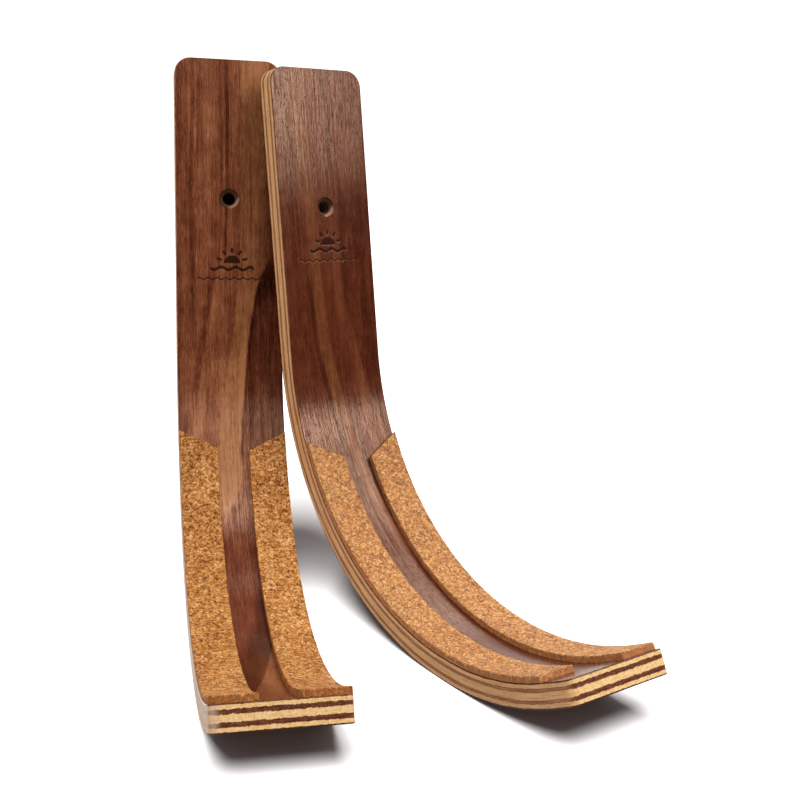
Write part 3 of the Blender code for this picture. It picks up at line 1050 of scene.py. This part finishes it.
# The floor's own suns, which shine from one direction: (name, width in degrees, brightness, colour).
FLOOR_LIGHT_FROM = (-0.15, -0.44, 1.0)
FLOOR_LIGHTS = (
    ("floor_near", 41.0, 1.9, (1.0, 0.98, 0.975)),
    ("floor_wide", 120.0, 0.2, (1.0, 0.84, 0.82)),
)
# How bright the room is overhead and in front, below the hooks, and to the camera.
ROOM = {"front": 0.03, "below": 0.45, "seen": 1.3}
ROOM_COLOUR = (1.0, 0.97, 0.93, 1.0)
# The camera: its place in metres, its turns in degrees, and its lens and sensor in millimetres.
CAMERA_PLACE = (-0.06296, -0.67613, 0.07985)
CAMERA_TURNS = (76.31, -2.51, -13.52)
CAMERA_LENS = 51.89
SENSOR_WIDTH = 36.0


def add_stage_object(name, corners, faces, colour):
    """A matt mesh that is linked to the scene and attached to neither hook."""
    mesh = bpy.data.meshes.new(name)
    mesh.from_pydata(corners, [], faces)
    obj = bpy.data.objects.new(name, mesh)
    bpy.context.scene.collection.objects.link(obj)
    g = Graph(f"{name}_paint")
    g.set(Base_Color=colour, Roughness=0.9, Specular_IOR_Level=0.1)
    mesh.materials.append(g.material)
    return obj


def add_floor():
    """The white ground, with suns of its own that light nothing else."""
    bottom = cad_box[0].z
    corners = [(x * FLOOR_HALF, y * FLOOR_HALF, bottom) for x, y in ((-1, -1), (1, -1), (1, 1), (-1, 1))]
    floor = add_stage_object("floor", corners, [(0, 1, 2, 3)], (FLOOR_GREY,) * 3)
    floor.visible_diffuse = False
    floor.visible_glossy = False
    floor.visible_shadow = False
    only_floor = bpy.data.collections.new("lit_by_floor_light")
    only_floor.objects.link(floor)
    for name, spread, brightness, colour in FLOOR_LIGHTS:
        light = bpy.data.lights.new(name, "SUN")
        light.angle = math.radians(spread)
        light.energy = brightness * math.pi / FLOOR_GREY
        light.color = colour
        obj = bpy.data.objects.new(name, light)
        obj.rotation_euler = Vector(FLOOR_LIGHT_FROM).to_track_quat("Z", "Y").to_euler()
        obj.light_linking.receiver_collection = only_floor
        bpy.context.scene.collection.objects.link(obj)


def add_hole_shade(placement):
    """A dark disc in the left hook's bore, so that no white ground shows through the hole."""
    turns = np.linspace(0.0, 2 * math.pi, 48, endpoint=False)
    radius = HOLE_RADIUS - 0.02
    depth = np.full_like(turns, THICKNESS - HOLE_SHADE_FROM_BACK)
    ring = np.stack((radius * np.cos(turns), HOLE_FROM_TOP + radius * np.sin(turns), depth), axis=1)
    faces = [tuple(range(len(turns)))]
    add_stage_object("hole_shade", bent(ring, placement).tolist(), faces, HOLE_SHADE)


def add_panel(name, middle, size, radiance, facing=None):
    """A flat softbox of an even radiance, which faces a place or lies level and shines down."""
    light = bpy.data.lights.new(name, "AREA")
    light.shape = "RECTANGLE"
    light.size, light.size_y = size
    light.energy = radiance * math.pi * size[0] * size[1]
    light.color = PANEL_COLOUR
    obj = bpy.data.objects.new(name, light)
    obj.location = middle
    if facing:
        obj.rotation_euler = (Vector(middle) - Vector(facing)).to_track_quat("Z", "Y").to_euler()
    else:
        obj.rotation_euler = (0.0, 0.0, CEILING_TURN)
    obj.light_linking.receiver_collection = bpy.data.collections["lit_by_room"]
    bpy.context.scene.collection.objects.link(obj)


def add_ceiling():
    """The panels overhead, each in its place along and across the turned direction."""
    right = Vector((math.cos(CEILING_TURN), math.sin(CEILING_TURN), 0.0))
    back = Vector((-right.y, right.x, 0.0))
    for name, low, high, near, far, radiance in CEILING:
        middle = right * (low + high) / 2 + back * (near + far) / 2 + Vector((0.0, 0.0, CEILING_HEIGHT))
        add_panel(name, middle, (high - low, far - near), radiance)


def add_world():
    """White to the eye. For light and reflections, a dark room above a pale ground."""
    world = bpy.data.worlds.new("studio")
    bpy.context.scene.world = world
    world.use_nodes = True
    tree = world.node_tree
    background = tree.nodes["Background"]
    background.inputs["Color"].default_value = ROOM_COLOUR
    direction = tree.nodes.new("ShaderNodeTexCoord")
    parts = tree.nodes.new("ShaderNodeSeparateXYZ")
    tree.links.new(direction.outputs["Generated"], parts.inputs[0])

    def eased(value, low, high, at_low, at_high):
        node = tree.nodes.new("ShaderNodeMapRange")
        node.interpolation_type = "SMOOTHSTEP"
        tree.links.new(value, node.inputs["Value"])
        numbers = {"From Min": low, "From Max": high, "To Min": at_low, "To Max": at_high}
        for socket, number in numbers.items():
            node.inputs[socket].default_value = number
        return node.outputs[0]

    room = eased(parts.outputs["Z"], -0.25, -0.05, ROOM["below"], ROOM["front"])
    strength = tree.nodes.new("ShaderNodeMix")
    seen = tree.nodes.new("ShaderNodeLightPath")
    tree.links.new(seen.outputs["Is Camera Ray"], strength.inputs[0])
    tree.links.new(room, strength.inputs[2])
    strength.inputs[3].default_value = ROOM["seen"]
    tree.links.new(strength.outputs[0], background.inputs["Strength"])


def add_camera():
    data = bpy.data.cameras.new("camera")
    data.lens = CAMERA_LENS
    data.sensor_width = SENSOR_WIDTH
    camera = bpy.data.objects.new("camera", data)
    camera.location = CAMERA_PLACE
    camera.rotation_euler = [math.radians(angle) for angle in CAMERA_TURNS]
    bpy.context.scene.collection.objects.link(camera)
    bpy.context.scene.camera = camera


def main():
    add_camera()
    add_world()
    add_floor()
    bpy.data.collections.new("lit_by_room")
    add_ceiling()
    for name, middle, size, radiance in SIDE_PANELS:
        add_panel(name, middle, size, radiance, facing=HOOKS_MIDDLE)
    top = Vector(bent(np.array([[0.0, TOP_SHEEN_FROM_TOP, 0.0]]), wall_placement("right"))[0])
    middle = top + Vector(TOP_SHEEN_STEP)
    add_panel("top_sheen", middle, TOP_SHEEN_SIZE, TOP_SHEEN_RADIANCE, facing=top)
    add_hole_shade(wall_placement("left"))
    for side in ("left", "right"):
        placement = wall_placement(side)
        add_sheets(side, placement)
        add_cork(side, placement)
    bpy.context.scene.view_settings.view_transform = "Standard"


main()
